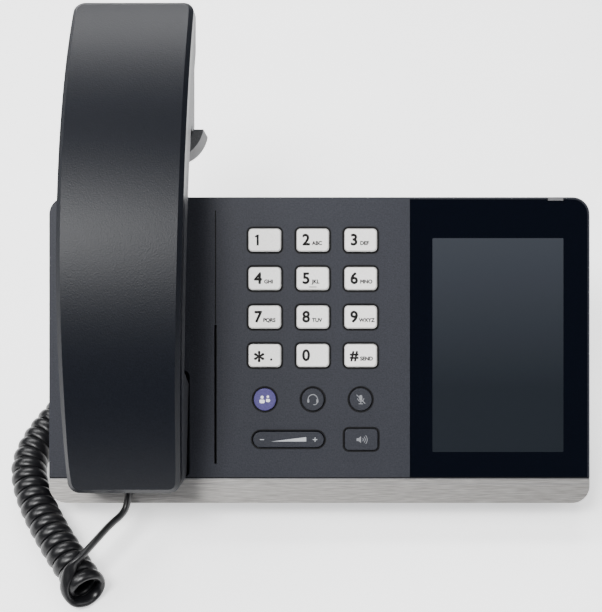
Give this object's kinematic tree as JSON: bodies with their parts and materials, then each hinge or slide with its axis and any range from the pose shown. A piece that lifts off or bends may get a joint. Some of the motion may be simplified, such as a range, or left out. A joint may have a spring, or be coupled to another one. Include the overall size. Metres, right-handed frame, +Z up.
{
  "type": "desk ip phone",
  "caption": "Desk IP phone with a tall colour touch display, a keypad, an arched corded handset in a cradle and a folding rear stand.",
  "frame": {"origin": "centre of the footprint of the phone without its cord, on the desk", "axes": "+X to the right of the person using it, -Y towards that person, +Z up"},
  "size_m": [0.2399, 0.1936, 0.1551],
  "materials": {
    "housing": "fine texture",
    "handset_shell": "satin",
    "strip_metal": "brushed",
    "screen_glass": "gloss",
    "lamp": "frosted",
    "lcd": "dark",
    "sheet_steel": "satin",
    "circuit_board": "solder mask",
    "screw_steel": "satin",
    "socket_plastic": "plain",
    "silicone": "matt",
    "rubber": "matt",
    "key_white": "satin",
    "key_violet": "satin",
    "cord_jacket": "gloss",
    "plug_clear": "clear smoke"
  },
  "bodies": {
    "base": {"base_microphone": "socket_plastic", "base_plug": "plug_clear", "base_tail": "cord_jacket", "board_screws": "screw_steel", "case_screws": "screw_steel", "cradle_pads": "rubber", "curly_cord": "cord_jacket", "display_frame": "sheet_steel", "ear_cradle": "housing", "front_cover": "housing", "front_feet": "rubber", "handset_socket": "socket_plastic", "handset_tail": "cord_jacket", "headset_socket": "socket_plastic", "hook_spring": "screw_steel", "hook_switch": "socket_plastic", "keypad_board": "circuit_board", "keypad_mat": "silicone", "lan_port": "sheet_steel", "lcd_panel": "lcd", "loudspeaker": "socket_plastic", "main_board": "circuit_board", "message_lamp": "lamp", "pc_port": "sheet_steel", "power_jack": "socket_plastic", "rear_cover": "housing", "screen_glass": "screen_glass", "trim_strip": "strip_metal", "usb_port": "sheet_steel"},
    "handset": {"handset_back": "handset_shell", "handset_front": "handset_shell", "handset_receiver": "socket_plastic", "handset_microphone": "socket_plastic", "handset_weight": "sheet_steel", "handset_jack": "socket_plastic", "handset_plug": "plug_clear"},
    "hook": {"hook_plunger": "socket_plastic"},
    "rocker": {"volume_rocker": "housing"},
    "stand": {"stand": "housing", "stand_pins": "sheet_steel", "stand_feet": "rubber"},
    "body_key_0": {"key_0": "key_white"},
    "body_key_1": {"key_1": "key_white"},
    "body_key_2": {"key_2": "key_white"},
    "body_key_3": {"key_3": "key_white"},
    "body_key_4": {"key_4": "key_white"},
    "body_key_5": {"key_5": "key_white"},
    "body_key_6": {"key_6": "key_white"},
    "body_key_7": {"key_7": "key_white"},
    "body_key_8": {"key_8": "key_white"},
    "body_key_9": {"key_9": "key_white"},
    "body_key_hash": {"key_hash": "key_white"},
    "body_key_headset": {"key_headset": "housing"},
    "body_key_meeting": {"key_meeting": "key_violet"},
    "body_key_mute": {"key_mute": "housing"},
    "body_key_speaker": {"key_speaker": "housing"},
    "body_key_star": {"key_star": "key_white"}
  },
  "joints": [
    {"name": "handset_lift", "type": "slide", "parent": "base", "child": "handset", "axis": [0, -0.7071, 0.7071], "range_m": [0, 0.06]},
    {"name": "hook_rise", "type": "slide", "parent": "base", "child": "hook", "axis": [0, -0.7071, 0.7071], "range_m": [0, 0.0023], "deforming": ["hook_spring"]},
    {"name": "volume_rock", "type": "hinge", "parent": "base", "child": "rocker", "pos_m": [-0.0126, -0.05027, 0.02863], "axis": [0, 0.7071, 0.7071], "range_deg": [-2.3, 2.3], "stiffness_Nm_per_rad": 0.05},
    {"name": "stand_fold", "type": "hinge", "parent": "base", "child": "stand", "pos_m": [0, 0.02702, 0.06179], "axis": [1, 0, 0], "range_deg": [-66, 0]},
    {"name": "press_0", "type": "slide", "parent": "base", "child": "body_key_0", "axis": [0, 0.7071, -0.7071], "range_m": [0, 0.0008], "stiffness_N_per_m": 200},
    {"name": "press_1", "type": "slide", "parent": "base", "child": "body_key_1", "axis": [0, 0.7071, -0.7071], "range_m": [0, 0.0008], "stiffness_N_per_m": 200},
    {"name": "press_2", "type": "slide", "parent": "base", "child": "body_key_2", "axis": [0, 0.7071, -0.7071], "range_m": [0, 0.0008], "stiffness_N_per_m": 200},
    {"name": "press_3", "type": "slide", "parent": "base", "child": "body_key_3", "axis": [0, 0.7071, -0.7071], "range_m": [0, 0.0008], "stiffness_N_per_m": 200},
    {"name": "press_4", "type": "slide", "parent": "base", "child": "body_key_4", "axis": [0, 0.7071, -0.7071], "range_m": [0, 0.0008], "stiffness_N_per_m": 200},
    {"name": "press_5", "type": "slide", "parent": "base", "child": "body_key_5", "axis": [0, 0.7071, -0.7071], "range_m": [0, 0.0008], "stiffness_N_per_m": 200},
    {"name": "press_6", "type": "slide", "parent": "base", "child": "body_key_6", "axis": [0, 0.7071, -0.7071], "range_m": [0, 0.0008], "stiffness_N_per_m": 200},
    {"name": "press_7", "type": "slide", "parent": "base", "child": "body_key_7", "axis": [0, 0.7071, -0.7071], "range_m": [0, 0.0008], "stiffness_N_per_m": 200},
    {"name": "press_8", "type": "slide", "parent": "base", "child": "body_key_8", "axis": [0, 0.7071, -0.7071], "range_m": [0, 0.0008], "stiffness_N_per_m": 200},
    {"name": "press_9", "type": "slide", "parent": "base", "child": "body_key_9", "axis": [0, 0.7071, -0.7071], "range_m": [0, 0.0008], "stiffness_N_per_m": 200},
    {"name": "press_hash", "type": "slide", "parent": "base", "child": "body_key_hash", "axis": [0, 0.7071, -0.7071], "range_m": [0, 0.0008], "stiffness_N_per_m": 200},
    {"name": "press_headset", "type": "slide", "parent": "base", "child": "body_key_headset", "axis": [0, 0.7071, -0.7071], "range_m": [0, 0.0008], "stiffness_N_per_m": 200},
    {"name": "press_meeting", "type": "slide", "parent": "base", "child": "body_key_meeting", "axis": [0, 0.7071, -0.7071], "range_m": [0, 0.0008], "stiffness_N_per_m": 200},
    {"name": "press_mute", "type": "slide", "parent": "base", "child": "body_key_mute", "axis": [0, 0.7071, -0.7071], "range_m": [0, 0.0008], "stiffness_N_per_m": 200},
    {"name": "press_speaker", "type": "slide", "parent": "base", "child": "body_key_speaker", "axis": [0, 0.7071, -0.7071], "range_m": [0, 0.0008], "stiffness_N_per_m": 200},
    {"name": "press_star", "type": "slide", "parent": "base", "child": "body_key_star", "axis": [0, 0.7071, -0.7071], "range_m": [0, 0.0008], "stiffness_N_per_m": 200}
  ],
  "couplings": [
    {"joint": "hook_rise", "follows": "handset_lift", "ratio": 0.0383}
  ]
}
